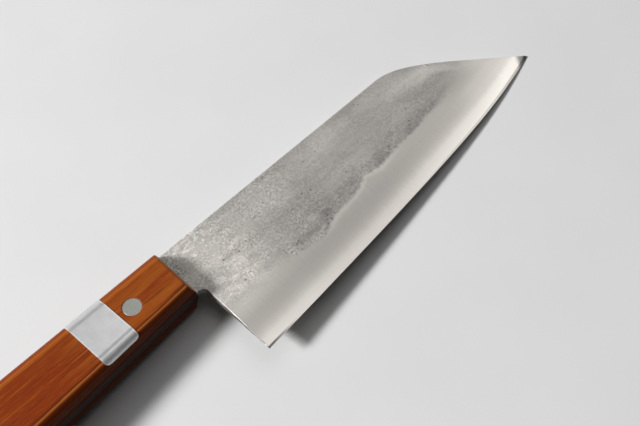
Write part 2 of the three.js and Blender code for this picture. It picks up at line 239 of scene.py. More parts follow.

# Brightness of the label from its spine end to its belly end, painted shade and painted reflection
# where it bends over the belly's rounding, and of its foil, with a painted highlight along its
# front and rear edges
LABEL_SHADES = (
    (0, 1), (0.79, 1), (0.82, 0.6), (0.84, 0.66), (0.87, 1.15), (0.92, 1.15), (1, 0.8),
)
FOIL_SHADES = (0.66, 0.73)
# painted highlight along the label's front and rear edges
FOIL_RIM_HIGHLIGHT = 0.88

# Share of the dark and of the light plies by depth below the broad face. Towards the belly the
# dark ones are also painted shade, deepest by the tang, and the first light one is also a painted
# highlight along the belly edge
PLY_DARK_AND_SHADE = (
    (0, 0), (0.04, 0), (0.09, 0.6), (0.17, 0.6), (0.24, 0), (0.5, 0), (0.7, 0.6), (1.2, 0.7),
    (1.7, 0.4), (2.6, 0.45), (2.8, 0.75), (3.1, 0.4), (4.6, 0.55), (4.8, 0.85), (5.1, 0.6), (7, 1),
)
PLY_LIGHT_AND_HIGHLIGHT = (
    (0, 0), (0.22, 0), (0.27, 0.7), (0.4, 0.7), (0.5, 0.2), (0.8, 0), (1.9, 0),
    (2.2, 0.3), (2.5, 0), (3.4, 0.1), (3.9, 0.3), (4.4, 0), (7, 0),
)

# Colours
WOOD_ORANGE = (0.26, 0.059, 0.0052, 1)
WOOD_RED = (0.19, 0.0262, 0.0018, 1)
WOOD_DARK = (0.096, 0.0144, 0.0016, 1)
WOOD_LIGHT = (0.35, 0.104, 0.012, 1)
WOOD_TAN = (0.50, 0.170, 0.035, 1)
# pale colour of each scale's sloping front: a painted highlight
WOOD_FRONT_HIGHLIGHT = (0.52, 0.23, 0.065, 1)
WOOD_PORE = (0.08, 0.014, 0.002, 1)
STEEL_TINT = (1, 0.952, 0.885, 1)
# dark brown of the tang's narrow sides and the heel's rear face: brown patina, with painted shade
TANG_SIDE = (0.042, 0.026, 0.02, 1)
RIVET_DARK = (0.32, 0.325, 0.30, 1)
RIVET_LIGHT = (0.39, 0.395, 0.36, 1)

# Patterns
NOISE_RANGE = (0.3, 0.7)  # where most of a noise's values lie
DOT_RIM = (-0.05, 0.12)  # soft border of a scattered dot, in cells
MARK_DEPTH = 0.01  # of the grinding marks
MARK_STRENGTH = 0.35

TIP = Vector((HEEL.x + math.sqrt(EDGE_LENGTH**2 - (HEEL.y + TIP_DEPTH) ** 2), -TIP_DEPTH))
MM = 0.001
SHIFT = Vector((
    CAD_BOX[0].x / MM + HANDLE_LENGTH,
    CAD_BOX[0].y / MM - HEEL.y,
    CAD_BOX[0].z / MM + BROAD_FACE,
))


def in_frame(point):
    """A drawn point in the frame, in metres."""
    return (Vector(point) + SHIFT) * MM


def place(point):
    """A piece's point in the frame, kept inside the part's box."""
    return Vector(min(max(v, low), high) for v, low, high in zip(in_frame(point), *CAD_BOX))


def lerp(a, b, t):
    return a + (b - a) * t


def clamp(value):
    return min(max(value, 0.0), 1.0)


def smooth_step(low, high, value):
    t = clamp((value - low) / (high - low))
    return t * t * (3 - 2 * t)


def steps(start, end, count):
    """Evenly spaced values from start to end, both included."""
    return [lerp(start, end, i / count) for i in range(count + 1)]


def quarter_turn(count):
    """Evenly spaced angles from 0 to a right angle."""
    return steps(0, math.pi / 2, count)


def rounded_off(rise, radius):
    """How far a rounded edge has drawn in, at a distance up its rounding."""
    rise = max(rise, 0.0)
    return radius - math.sqrt(max(radius**2 - rise**2, 0.0))


def between(stops, x):
    """The second number of the stops at one X, rounded off smoothly from stop to stop."""
    for (x0, y0), (x1, y1) in zip(stops, stops[1:]):
        if x <= x1:
            return lerp(y0, y1, smooth_step(x0, x1, x))
    return stops[-1][1]


def bezier(points, t):
    while len(points) > 1:
        points = [a.lerp(b, t) for a, b in zip(points, points[1:])]
    return points[0]


def height_on(curve, x):
    """Y of a curve that runs towards +X, at one X."""
    low, high = 0.0, 1.0
    for _ in range(HALVINGS):
        middle = (low + high) / 2
        if bezier(curve, middle).x < x:
            low = middle
        else:
            high = middle
    return bezier(curve, high).y


def arc(centre, radius, start, end, count=ARC_STEPS):
    """Points along an arc given in degrees."""
    angles = [math.radians(a) for a in steps(start, end, count)]
    return [centre + radius * Vector((math.cos(a), math.sin(a))) for a in angles]


def circle(centre, radius, z):
    around = arc(Vector(centre), radius, 0, 360, ROUND_SIDES)[:-1]
    return [Vector((p.x, p.y, z)) for p in around]


# Mesh building


class Shape:
    """Points and faces of one piece as they are collected, with named numbers at each point."""

    def __init__(self):
        self.points = []
        self.faces = []
        self.numbers = {}

    def add(self, point, **numbers):
        """Adds a drawn point and returns its index."""
        self.points.append(Vector(point))
        for name, value in numbers.items():
            self.numbers.setdefault(name, {})[len(self.points) - 1] = value
        return len(self.points) - 1

    def ring(self, points):
        return [self.add(p) for p in points]

    def skin(self, rings, closed=True):
        """Quads between neighbouring rings of equally many points."""
        count = len(rings[0])
        around = range(count if closed else count - 1)
        for a, b in zip(rings, rings[1:]):
            for i in around:
                j = (i + 1) % count
                self.faces.append((a[i], a[j], b[j], b[i]))

    def loft(self, rings):
        """A closed skin with flat ends."""
        self.skin(rings)
        self.faces.append(tuple(rings[0]))
        self.faces.append(tuple(reversed(rings[-1])))


def add_object(name, data):
    made = bpy.data.objects.new(name, data)
    bpy.context.scene.collection.objects.link(made)
    return made


def make_piece(name, shape, material, node, sharp=35):
    """Makes a finished piece in the frame that stands for one CAD node."""
    mesh = bpy.data.meshes.new(name)
    mesh.from_pydata([place(p) for p in shape.points], [], shape.faces)
    for label, values in shape.numbers.items():
        layer = mesh.attributes.new(label, "FLOAT", "POINT")
        for index, value in values.items():
            layer.data[index].value = value
    tidy_faces(mesh)
    mesh.shade_smooth()
    mesh.set_sharp_from_angle(angle=math.radians(sharp))
    mesh.materials.append(material)
    piece = add_object(name, mesh)
    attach(piece, "root")
    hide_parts(node)


def tidy_faces(mesh):
    """Drops faces without area and turns the others outwards."""
    work = bmesh.new()
    work.from_mesh(mesh)
    bmesh.ops.dissolve_degenerate(work, dist=1e-8, edges=work.edges)
    bmesh.ops.recalc_face_normals(work, faces=work.faces)
    work.to_mesh(mesh)
    work.free()


# Blade


def edge_curve():
    """Cutting edge: nearly straight from the heel, then sweeping up to the tip."""
    run = TIP.x - HEEL.x
    straight = EDGE_PULLS[0] * run
    sweep = EDGE_PULLS[1] * run
    first = HEEL + straight * Vector((1, EDGE_HEEL_SLOPE))
    second = TIP - sweep * Vector((1, EDGE_TIP_SLOPE))
    return [HEEL, first, second, TIP]


def drop_curve():
    """Spine beyond its straight stretch, down to the tip."""
    run = TIP.x - SPINE_LENGTH
    fall = DROP_PULLS[1] * run
    start = Vector((SPINE_LENGTH, 0))
    first = Vector((SPINE_LENGTH + DROP_PULLS[0] * run, 0))
    second = Vector((TIP.x - fall, TIP.y + fall * DROP_TIP_SLOPE))
    return [start, first, second, Vector((TIP.x, TIP.y + TIP_BLUNTNESS))]


EDGE = edge_curve()
DROP = drop_curve()


def ground_half(height, grind, flat_half):
    """Half thickness at a height above the edge, without the honed strip."""
    part = clamp(height / grind)
    share = part + BEVEL_BULGE * part * (1 - part)
    return lerp(EDGE_LAND / 2, flat_half, share)


def bare_height(x, depth, grind, flat_half, side):
    """How far up the bevel lays the core bare, all the way up at the tip."""
    share = min((CORE_HALF - EDGE_LAND / 2) / (flat_half - EDGE_LAND / 2), 1)
    slope = 1 + BEVEL_BULGE
    bare = 2 * grind * share / (slope + math.sqrt(slope**2 - 4 * BEVEL_BULGE * share))
    uneven = noise.noise(Vector((x / WAVER_LENGTH, 9.1 * side, 2.7)))
    bare *= 1 + CORE_WAVER * uneven
    return lerp(bare, depth - EASE, smooth_step(*CLADDING_RUNOUT, x))


class Station:
    """The blade's measures at one X."""

    def __init__(self, x):
        top = height_on(DROP, x) if x > SPINE_LENGTH else 0.0
        along = (x - HEEL.x) / (TIP.x - HEEL.x)
        self.x = x
        self.bottom = height_on(EDGE, x)
        self.depth = top - self.bottom
        self.flat_half = lerp(SPINE_THICKNESS, TIP_THICKNESS, along) / 2
        self.honed = between(HONED_WIDTHS, x)
        self.uncovered = smooth_step(*CLADDING_RUNOUT, x)
        self.grind = {}
        self.bare = {}
        for side, line in GRIND_LINES.items():
            grind = min(between(line, x) - self.bottom, (1 - LEAST_FLAT) * self.depth)
            self.grind[side] = grind
            self.bare[side] = bare_height(x, self.depth, grind, self.flat_half, side)

    def half(self, height, side):
        """Half the blade's thickness at a height above the edge."""
        half = ground_half(max(height, self.honed), self.grind[side], self.flat_half)
        if height < self.honed:
            half = lerp(HONED_HALF, half, height / self.honed)
        return half * self.heel_ease(height)

    def heel_ease(self, height):
        """Share of its thickness that the blade keeps at the rounded edge of its rear face."""
        rounding = rounded_off(1 - (self.x - HEEL.x) / EASE, 1)
        return 1 - HEEL_LOSS * self.below_neck(height) * rounding

    def dull(self, height):
        """How far the blade is darkened on its rear face and the rounding beside it: painted shade
        that dims their highlight, and a less polished finish.
        """
        rear = smooth_step(HEEL.x + EASE, HEEL.x + EASE / 2, self.x)
        return REAR_DULL_AND_SHADE * rear * self.below_neck(height)

    def below_neck(self, height):
        """0 above the choil's end and 1 well below it."""
        choil = -NECK_HEIGHT - CHOIL_RADIUS
        return smooth_step(choil, choil - CHOIL_FADE, self.bottom + height)

    def core_top(self, side):
        """Half thickness of the core at the spine, where it widens as the outer layers run out."""
        half = self.half(self.depth, side)
        covered = min(CORE_HALF, CORE_MOST * half)
        return lerp(covered, CORE_UNCOVERED * half, self.uncovered)

    def add(self, shape, height, z, **numbers):
        """Adds a point of the blade to a shape, with what its material needs to know."""
        spot = (self.x, self.bottom + height, z)
        dull = self.dull(height)
        return shape.add(spot, along=self.x, above_edge=height, dull=dull, **numbers)


def blade_stations():
    eased = [HEEL.x + EASE * share for share in HEEL_SHARES]
    even = steps(HEEL.x + EVEN_START * EASE, TIP.x - TIP_GAP, BLADE_STEPS)
    return [Station(x) for x in eased + even]


def rounded_top(depth, half, share=1.0):
    """Heights and half thicknesses over the eased edge between side and spine."""
    ease = share * min(EASE, EASE_MOST[0] * half, EASE_MOST[1] * depth)
    return [
        (depth - ease * (1 - math.sin(a)), half - ease * (1 - math.cos(a)))
        for a in quarter_turn(EASE_ROWS)
    ]


def cladding_ring(shape, station, side):
    """One section of an outer layer, from the core's bare band up the side and over the spine."""
    bare = station.bare[side]
    depth = station.depth
    lowest, highest = (lerp(bare, depth, share) for share in CREASE_SHARES)
    crease = max(min(station.grind[side], highest), lowest)
    top = rounded_top(depth, station.half(depth, side))
    heights = steps(bare, crease, BEVEL_ROWS) + steps(crease, top[0][0], FLAT_ROWS)[1:]
    spots = [(h, station.half(h, side)) for h in heights] + top[1:]
    spots.append((depth, min(station.core_top(side), top[-1][1])))
    grind = station.grind[side]
    return [
        station.add(shape, h, half * side, above_grind=h - grind, below_spine=depth - h)
        for h, half in spots
    ]


def core_ring(shape, station):
    """One section of the core: its bare band on both sides, and what the outer layers cover."""
    spots = core_side(station, 1) + core_side(station, -1)[::-1]
    return [station.add(shape, h, z, above_honed=h / station.honed) for h, z in spots]


def core_side(station, side):
    """Heights and places in Z on one side of the core, from the edge to the spine."""
    bare = station.bare[side]
    depth = station.depth
    low = min(station.honed, HONED_MOST * depth)
    high = min(max(bare, BAND_LEAST * low), lerp(depth, bare, BAND_ROOM))
    heights = [0.0] + steps(low, high, CORE_ROWS)
    spots = [(h, station.half(h, side)) for h in heights]
    share = lerp(CORE_EASE, 1.0, station.uncovered)
    spots += rounded_top(depth, station.core_top(side), share)
    return [(h, z * side) for h, z in spots]


def neck_bottoms():
    """X and Y along the neck's lower edge, from the scales to the end of the choil."""
    centre = HEEL.x - CHOIL_RADIUS
    spots = []
    for t in steps(0, NECK_SHARE, NECK_STEPS):
        rise = math.sin(t * math.pi / 2)
        spots.append((lerp(FRONT_REACH, centre, t), lerp(-FRONT_HEIGHT, -NECK_HEIGHT, rise)))
    for a in quarter_turn(ARC_STEPS):
        drop = CHOIL_RADIUS * (1 - math.cos(a))
        spots.append((centre + CHOIL_RADIUS * math.sin(a), -NECK_HEIGHT - drop))
    return spots


def neck_ring(shape, x, bottom, inner, outer):
    """One section of a layer of the neck, with eased outer edges above and below."""
    ease = EASE if abs(outer) > CORE_HALF else 0.0
    side = math.copysign(1, outer)
    angles = quarter_turn(EASE_ROWS)
    corner = [(ease * (1 - math.sin(a)), ease * (1 - math.cos(a))) for a in angles]
    ring = [(bottom, inner)]
    ring += [(bottom + drop, outer - side * cut) for cut, drop in corner]
    ring += [(y, outer) for y in steps(bottom + ease, -ease, FLAT_ROWS)[1:-1]]
    ring += [(-drop, outer - side * cut) for cut, drop in reversed(corner)]
    ring.append((0.0, inner))
    return [shape.add((x, y, z), **neck_numbers(x, y)) for y, z in ring]


def neck_numbers(x, y):
    """The neck belongs to the flat, far above the bevel."""
    height = y - HEEL.y
    above = y - GRIND_LINES[1][0][1]
    return dict(along=x, above_edge=height, above_grind=above, above_honed=height, below_spine=-y)


def add_neck_and_tang(shape, inner, outer):
    """One layer of the neck, and of the tang with the handle's own outline."""
    shape.loft([neck_ring(shape, x, bottom, inner, outer) for x, bottom in neck_bottoms()])
    ease = JOINT_EASE if abs(outer) > CORE_HALF else 0.0
    side = math.copysign(1, outer)
    levels = [(inner, 0.0), (outer - side * ease, 0.0), (outer, ease)]
    rings = []
    for z, inset in levels:
        outline = [p - n * inset for p, n, _ in HANDLE_OUTLINE]
        outline.insert(0, Vector((FRONT_REACH, -inset)))
        outline.append(Vector((FRONT_REACH, inset - FRONT_HEIGHT)))
        # the tang's narrow sides are darkened brown: patina, with painted shade
        rings.append(
            [shape.add((p.x, p.y, z), dull=1.0, **neck_numbers(p.x, p.y)) for p in outline]
        )
    shape.loft(rings)


def build_cladding(name, side, material):
    shape = Shape()
    last = CLADDING_RUNOUT[1] - RUNOUT_GAP
    stations = [s for s in blade_stations() if s.x < last]
    shape.loft([cladding_ring(shape, s, side) for s in stations])
    add_neck_and_tang(shape, CORE_HALF * side, TANG_FACE * side)
    make_piece("blade_" + name, shape, material, name)


def build_core(material):
    shape = Shape()
    shape.loft([core_ring(shape, s) for s in blade_stations()])
    add_neck_and_tang(shape, -CORE_HALF, CORE_HALF)
    make_piece("blade_core", shape, material, "core_steel", sharp=20)


# Handle


def belly_curve():
    """The handle's lower edge, from the butt's arc forwards."""
    end = BUTT_BELLY_RADIUS - HANDLE_LENGTH
    front = BELLY_PULLS[0] * end
    return [
        Vector((end, -BUTT_HEIGHT)),
        Vector(((1 - BELLY_PULLS[1]) * end, -BUTT_HEIGHT)),
        Vector((front, front * BELLY_FRONT_SLOPE - FRONT_HEIGHT)),
        Vector((0.0, -FRONT_HEIGHT)),
    ]


def handle_points():
    """Side outline of the handle, from the spine's front round the butt to the belly's front."""
    spine_end = BUTT_SPINE_RADIUS - HANDLE_LENGTH
    belly = belly_curve()
    points = [Vector((x, 0.0)) for x in steps(OUTLINE_FRONT, spine_end, BELLY_STEPS)]
    centre = Vector((spine_end, -BUTT_SPINE_RADIUS))
    points += arc(centre, BUTT_SPINE_RADIUS, 90, 180)[1:]
    centre = belly[0] + Vector((0, BUTT_BELLY_RADIUS))
    points += arc(centre, BUTT_BELLY_RADIUS, 180, 270)
    forward = [bezier(belly, t) for t in steps(0, 1, BELLY_STEPS)[1:]]
    return points + [p for p in forward if p.x < OUTLINE_FRONT]


def rounding_at(point):
    """Rounding of a scale's outer edge at a point of the outline."""
    belly = lerp(FRONT_ROUNDING, BUTT_ROUNDING, -point.x / HANDLE_LENGTH)
    return lerp(SPINE_ROUNDING, belly, clamp(-point.y / FRONT_HEIGHT))


def handle_outline():
    """Points, outward directions and roundings along the handle's outline."""
    points = handle_points()
    normals = [Vector((0, 1))]
    for before, after in zip(points, points[2:]):
        along = after - before
        normals.append(Vector((along.y, -along.x)).normalized())
    normals.append(normals[-1])
    return [(p, n, rounding_at(p)) for p, n in zip(points, normals)]


HANDLE_OUTLINE = handle_outline()


def inset_at(z, rounding):
    """How far the rounding under the broad face draws in at a height above the middle plane."""
    return rounded_off(z - (BROAD_FACE - rounding), rounding)


def front_at(z):
    """X of a scale's sloping front at a height above the blade's middle plane."""
    slope = (BROAD_FACE - z) / (BROAD_FACE - TANG_FACE - FRONT_FOOT)
    return FRONT_REACH * clamp(slope) - inset_at(z, FRONT_EASE)


def corner_points(front, y, radius, side):
    """Rounded front corner of a scale: from front to side on the spine, and back on the belly."""
    centre = Vector((front - radius, y - side * radius))
    start, end = (0, 90) if side > 0 else (-90, 0)
    return arc(centre, radius, start, end, CORNER_STEPS)


def scale_ring(z, drawn_in=0.0):
    """Outline of a scale at one height, drawn in by its roundings and by that much more."""
    front = front_at(z) - drawn_in
    spine = -inset_at(z, SPINE_ROUNDING) - drawn_in
    belly = inset_at(z, FRONT_ROUNDING) + drawn_in - FRONT_HEIGHT
    belly_corner = lerp(BELLY_CORNER, FRONT_CORNER, (z - TANG_FACE) / (BROAD_FACE - TANG_FACE))
    ring = corner_points(front, spine, FRONT_CORNER, 1)
    for point, normal, rounding in HANDLE_OUTLINE:
        ring.append(point - normal * (inset_at(z, rounding) + drawn_in))
    return ring + corner_points(front, belly, belly_corner, -1)


def scale_levels():
    """Heights of a scale's rings, closest together where its edges turn over."""
    start = BROAD_FACE - BUTT_ROUNDING
    rounded = [start + BUTT_ROUNDING * math.sin(a) for a in quarter_turn(ROUNDING_STEPS)]
    return [TANG_FACE + JOINT_EASE, TANG_FACE + FRONT_FOOT] + rounded


def wood_numbers(point, z, front):
    """What the wood's material needs to know at a point."""
    belly = clamp(-point.y / FRONT_HEIGHT)
    return dict(along=point.x, below_face=BROAD_FACE - z, towards_belly=belly, front=front)


def add_scale_ring(shape, z, drawn_in, side):
    """Adds a scale's outline at one height. Its first and last points lie on the front."""
    points = scale_ring(z, drawn_in)
    on_front = 1.0 if z < BROAD_FACE - FRONT_EASE else 0.0
    fronts = [on_front] + [0.0] * (len(points) - 2) + [on_front]
    return [
        shape.add((p.x, p.y, z * side), **wood_numbers(p, z, front))
        for p, front in zip(points, fronts)
    ]


def build_scale(name, side, material):
    shape = Shape()
    levels = [(TANG_FACE, JOINT_EASE)] + [(z, 0.0) for z in scale_levels()]
    levels.append((BROAD_FACE, FACE_RIM))
    rings = [add_scale_ring(shape, z, drawn_in, side) for z, drawn_in in levels]
    shape.skin(rings)
    shape.faces.append(tuple(rings[0]))
    holes = [rivet_hole(shape, spot, side) for spot in RIVETS.values()]
    fill_with_holes(shape, rings[-1], holes)
    make_piece("handle_" + name, shape, material, name, sharp=50)


def rivet_hole(shape, spot, side):
    """Counterbore for a rivet's head, closed at its floor. Returns a flat ring round it."""
    radius = HEAD_RADIUS + HEAD_GAP
    profile = [
        (radius + HOLE_RIM, BROAD_FACE),
        (radius + HOLE_EASE, BROAD_FACE),
        (radius, BROAD_FACE - HOLE_EASE),
        (radius, HEAD_SEAT),
        (HOLE_FLOOR * radius, HEAD_SEAT),
    ]
    rings = []
    for r, z in profile:
        numbers = wood_numbers(Vector(spot), z, 0.0)
        rings.append([shape.add(p, **numbers) for p in circle(spot, r, z * side)])
    shape.skin(rings)
    shape.faces.append(tuple(rings[-1]))
    return rings[0]


def fill_with_holes(shape, outer, holes):
    """Flat face inside one ring and outside some others."""
    work = bmesh.new()
    spots = {}
    for ring in [outer] + holes:
        for index in ring:
            spots[index] = work.verts.new(shape.points[index])
        for a, b in zip(ring, ring[1:] + ring[:1]):
            work.edges.new((spots[a], spots[b]))
    index_of = {vert: index for index, vert in spots.items()}
    made = bmesh.ops.triangle_fill(work, use_beauty=True, edges=work.edges[:])
    for face in made["geom"]:
        if isinstance(face, bmesh.types.BMFace):
            shape.faces.append(tuple(index_of[v] for v in face.verts))
    work.free()


# Rivets


def lathe(spot, profile):
    """A solid turned about an upright axis from radii and heights, with small flat ends."""
    shape = Shape()
    shape.loft([shape.ring(circle(spot, r, z)) for r, z in profile])
    return shape


def head_profile():
    """Faintly domed head with an eased rim, from its middle outwards."""
    flat = HEAD_RADIUS - HEAD_EASE
    low = BROAD_FACE - HEAD_DOME - HEAD_EASE
    dome = [(flat * t, BROAD_FACE - HEAD_DOME * t * t) for t in DOME_SHARES]
    rim = [
        (flat + HEAD_EASE * math.sin(a), low + HEAD_EASE * math.cos(a))
        for a in quarter_turn(EASE_ROWS)[1:]
    ]
    return dome + rim


def build_rivet(where, material):
    """A rivet's halves: a tube with the right head, and a pin inside it with the left one."""
    thin = BORE_RADIUS - CLEARANCE
    tube = [
        (HEAD_RADIUS, HEAD_SEAT), (TUBE_RADIUS, HEAD_SEAT), (TUBE_RADIUS, TUBE_END),
        (BORE_RADIUS, TUBE_END), (BORE_RADIUS, HEAD_SEAT), (AXIS_GAP, HEAD_SEAT),
    ]
    pin = [(HEAD_RADIUS, -HEAD_SEAT), (thin, -HEAD_SEAT), (thin, HEAD_SEAT), (AXIS_GAP, HEAD_SEAT)]
    left_head = [(r, -z) for r, z in head_profile()]
    halves = (("right", "tube", head_profile() + tube), ("left", "pin", left_head + pin))
    for side, half, profile in halves:
        shape = lathe(RIVETS[where], profile)
        make_piece(f"head_{side}_{where}", shape, material, f"rivet_{where}_{half}")


# Label


def label_profile(x, skin):
    """Y and Z across the right scale at one X, from the spine side over to the belly side."""
    belly = height_on(belly_curve(), x)
    rounding = rounding_at(Vector((x, belly)))
    end = LABEL_SKEW * (x - LABEL_MIDDLE) - LABEL_BELLY_DEPTH
    lap_start = math.degrees(math.asin(1 - LABEL_SPINE_LAP / SPINE_ROUNDING))
    lap_end = 180 - math.degrees(math.acos(1 - (end - belly) / rounding))
    spine_centre = Vector((-SPINE_ROUNDING, BROAD_FACE - SPINE_ROUNDING))
    belly_centre = Vector((belly + rounding, BROAD_FACE - rounding))
    across = steps(spine_centre.x, belly_centre.x, LABEL_ROWS)[1:-1]
    spots = arc(spine_centre, SPINE_ROUNDING + skin, lap_start, 90)
    spots += [Vector((y, BROAD_FACE + skin)) for y in across]
    return spots + arc(belly_centre, rounding + skin, 90, lap_end)


def path_lengths(spots):
    lengths = [0.0]
    for a, b in zip(spots, spots[1:]):
        lengths.append(lengths[-1] + (b - a).length)
    return lengths


def label_sheet(shape, skin):
    """Rows of points over the label at one distance from the wood."""
    lengths = path_lengths(label_profile(LABEL_MIDDLE, skin))
    total = lengths[-1]
    rows = []
    for i, length in enumerate(lengths):
        in_corner = LABEL_CORNER - min(length, total - length)
        half = LABEL_LENGTH / 2 - rounded_off(in_corner, LABEL_CORNER)
        middle = LABEL_MIDDLE + LABEL_SKEW * (length - total / 2)
        row = []
        for x in steps(middle + half, middle - half, LABEL_COLUMNS):
            spot = label_profile(x, skin)[i]
            inside = half - abs(x - middle)
            row.append(shape.add((x, spot.x, spot.y), across=length / total, inside=inside))
        rows.append(row)
    return rows


def sheet_border(rows):
    """Indices once round a sheet's rim."""
    front = [r[0] for r in rows]
    rear = [r[-1] for r in rows]
    return front + rows[-1][1:-1] + rear[::-1] + rows[0][-2:0:-1]


def build_label(material):
    shape = Shape()
    outer = label_sheet(shape, GLUE_FILM + LABEL_THICKNESS)
    inner = label_sheet(shape, GLUE_FILM)
    shape.skin(outer, closed=False)
    shape.skin(inner, closed=False)
    shape.skin([sheet_border(outer), sheet_border(inner)])
    make_piece("label_foil", shape, material, "label", sharp=50)


# Materials


def grey(value):
    return (value, value, value, 1)


class Number:
    """A number that a material works out at each point of a surface."""

    def __init__(self, nodes, socket):
        self.nodes = nodes
        self.socket = socket

    def __add__(self, other):
        return self.nodes.math("ADD", self, other)

    def __sub__(self, other):
        return self.nodes.math("SUBTRACT", self, other)

    def __rsub__(self, other):
        return self.nodes.math("SUBTRACT", other, self)

    def __mul__(self, other):
        return self.nodes.math("MULTIPLY", self, other)

    def __truediv__(self, other):
        return self.nodes.math("DIVIDE", self, other)

    def turn(self, low, high, start=0, end=1, smooth=True):
        """A number that goes from start to end while this one goes from low to high."""
        kind = "SMOOTHSTEP" if smooth else "LINEAR"
        inputs = {"Value": self, 1: low, 2: high, 3: start, 4: end}
        return self.nodes.number("ShaderNodeMapRange", 0, inputs, interpolation_type=kind)

    def window(self, rise, fall, start=0):
        """Goes from start to 1 over one stretch of this number, and to 0 over another."""
        return self.turn(*rise, start) * self.turn(*fall, 1, 0)

    def spread(self, low=0, high=1, smooth=True):
        """A noise laid out between two numbers."""
        return self.turn(*NOISE_RANGE, low, high, smooth)

    def ramp(self, stops):
        """A number that follows (value, number) stops in straight stretches."""
        low, high = stops[0][0], stops[-1][0]
        share = self.turn(low, high, smooth=False)
        made = self.nodes.make("ShaderNodeValToRGB", {"Fac": share})
        elements = made.color_ramp.elements
        elements[0].color = grey(stops[0][1])
        elements[1].color = grey(stops[-1][1])
        for spot, number in stops[1:-1]:
            elements.new((spot - low) / (high - low)).color = grey(number)
        return Number(self.nodes, made.outputs["Color"])


class Nodes:
    """A material under construction, with patterns laid out in millimetres."""

    def __init__(self, name):
        self.material = bpy.data.materials.new(name)
        self.material.use_nodes = True
        self.tree = self.material.node_tree
        self.surface = self.tree.nodes["Principled BSDF"]
        self.place = self.make("ShaderNodeTexCoord").outputs["Object"]

    def make(self, kind, inputs=None, **settings):
        made = self.tree.nodes.new(kind)
        for key, value in settings.items():
            setattr(made, key, value)
        for key, value in (inputs or {}).items():
            self.feed(made.inputs[key], value)
        return made

    def feed(self, socket, value):
        """Sets a socket to a constant, or links it to another node's output."""
        if isinstance(value, Number):
            value = value.socket
        if isinstance(value, bpy.types.NodeSocket):
            self.tree.links.new(value, socket)
        else:
            socket.default_value = value

    def finish(self, **inputs):
        for key, value in inputs.items():
            self.feed(self.surface.inputs[key.replace("_", " ")], value)
        return self.material

    def number(self, kind, output, inputs=None, **settings):
        """The number that a new node gives."""
        return Number(self, self.make(kind, inputs, **settings).outputs[output])

    def math(self, operation, a, b):
        return self.number("ShaderNodeMath", 0, {0: a, 1: b}, operation=operation)

    def stored(self, name):
        """A number that the mesh has at each point."""
        return self.number("ShaderNodeAttribute", "Fac", attribute_name=name)

    def stretched(self, x, y, z):
        """Coordinates in which a unit is 1/x, 1/y and 1/z millimetres."""
        inputs = {"Vector": self.place, "Scale": (x / MM, y / MM, z / MM)}
        return self.make("ShaderNodeMapping", inputs).outputs["Vector"]

    def noise(self, x, y=None, z=None, detail=3, roughness=0.55):
        """Noise with about that many features to a millimetre."""
        place = self.stretched(x, x if y is None else y, x if z is None else z)
        inputs = {"Vector": place, "Scale": 1, "Detail": detail, "Roughness": roughness}
        return self.number("ShaderNodeTexNoise", "Fac", inputs)

    def dots(self, density, radius, kept):
        """Scattered round dots, 1 inside each, with a share of all places kept."""
        inputs = {"Vector": self.stretched(density, density, density), "Scale": 1}
        cells = self.make("ShaderNodeTexVoronoi", inputs).outputs
        chance = self.make("ShaderNodeSeparateColor", {"Color": cells["Color"]}).outputs
        size = Number(self, chance["Red"]) * (radius * density)
        chosen = self.math("LESS_THAN", chance["Green"], kept)
        return (size - cells["Distance"]).turn(*DOT_RIM) * chosen

    def mix(self, share, a, b):
        """A colour between two others."""
        inputs = {"Factor": share, 6: a, 7: b}
        return self.make("ShaderNodeMix", inputs, data_type="RGBA").outputs[2]

    def bump(self, height, distance, strength, after=None):
        """A normal that follows a height pattern of about that many millimetres."""
        inputs = {"Height": height, "Distance": distance * MM, "Strength": strength}
        if after is not None:
            inputs["Normal"] = after
        return self.make("ShaderNodeBump", inputs).outputs["Normal"]


def scratches(nodes):
    """Fine grinding marks that run straight up from the edge."""
    fine = nodes.noise(3.2, 0.09, 0.4, detail=2)
    broad = nodes.noise(0.9, 0.04, 0.3, detail=2)
    return fine * 0.6 + broad * 0.4


def flat_share(nodes, along):
    """1 on the blade's flat and 0 on its bevel, with a ragged border, soft near heel and tip."""
    ragged = (nodes.noise(0.45, detail=4) - 0.5) * 3
    above = nodes.stored("above_grind") + ragged
    softness = along.turn(*HEEL_FADE, 4.5, 0.7) + along.turn(114, 138, 0, 1.5)
    before_tip = along.turn(138, 156, 1, 0)
    return (above / softness).turn(-1, 1) * before_tip


def pear_skin(nodes, along):
    """Brightness and relief of the blade's flat, with its grain, its patches, its pits and a
    painted shadow beside the handle.
    """
    below = nodes.stored("below_spine")
    low, patchy = low_flat(nodes, along)
    clouds = nodes.noise(0.04, 0.10, 0.1, detail=5, roughness=0.62)
    blots = nodes.noise(0.10, 0.14, 0.1, detail=4, roughness=0.6)
    dark = patchy * blots.turn(0.40, 0.62, -0.03, -0.11) * along.ramp(PATCH_GAINS)
    plain = along.turn(12, 38, 0.415, 0.325) * along.turn(*TAPER_FADE, 1, 0.88)
    grain, speckle, pit = skin_grain(nodes, along, low, blots)
    flake = forge_flakes(nodes, along, below)
    shade = (plain + spine_glow(along, below) + dark) * heel_shine(nodes, along, below)
    shade *= clouds.spread(0.86, 1.16)
    shade *= speckle + 1
    shade *= pit.turn(0, 1, 1, 0.5)
    shade *= flake.turn(0, 1, 1, 1.36)
    # painted shadow beside the handle, with dark specks and pits
    shade *= neck_specks_and_shadow(nodes, along, below)
    relief = grain * 0.6 - (pit + flake * 0.8)
    return shade, relief


def low_flat(nodes, along):
    """1 low on the flat and 0 elsewhere, and the same with less close to the grind line."""
    above = nodes.stored("above_grind") + along.turn(50, 60, -3, 0)
    low = along.window((24, 46), TIP_FADE) * above.turn(0, 11, 1, 0)
    return low, low * above.turn(-3, 1.5, 0.2, 1)


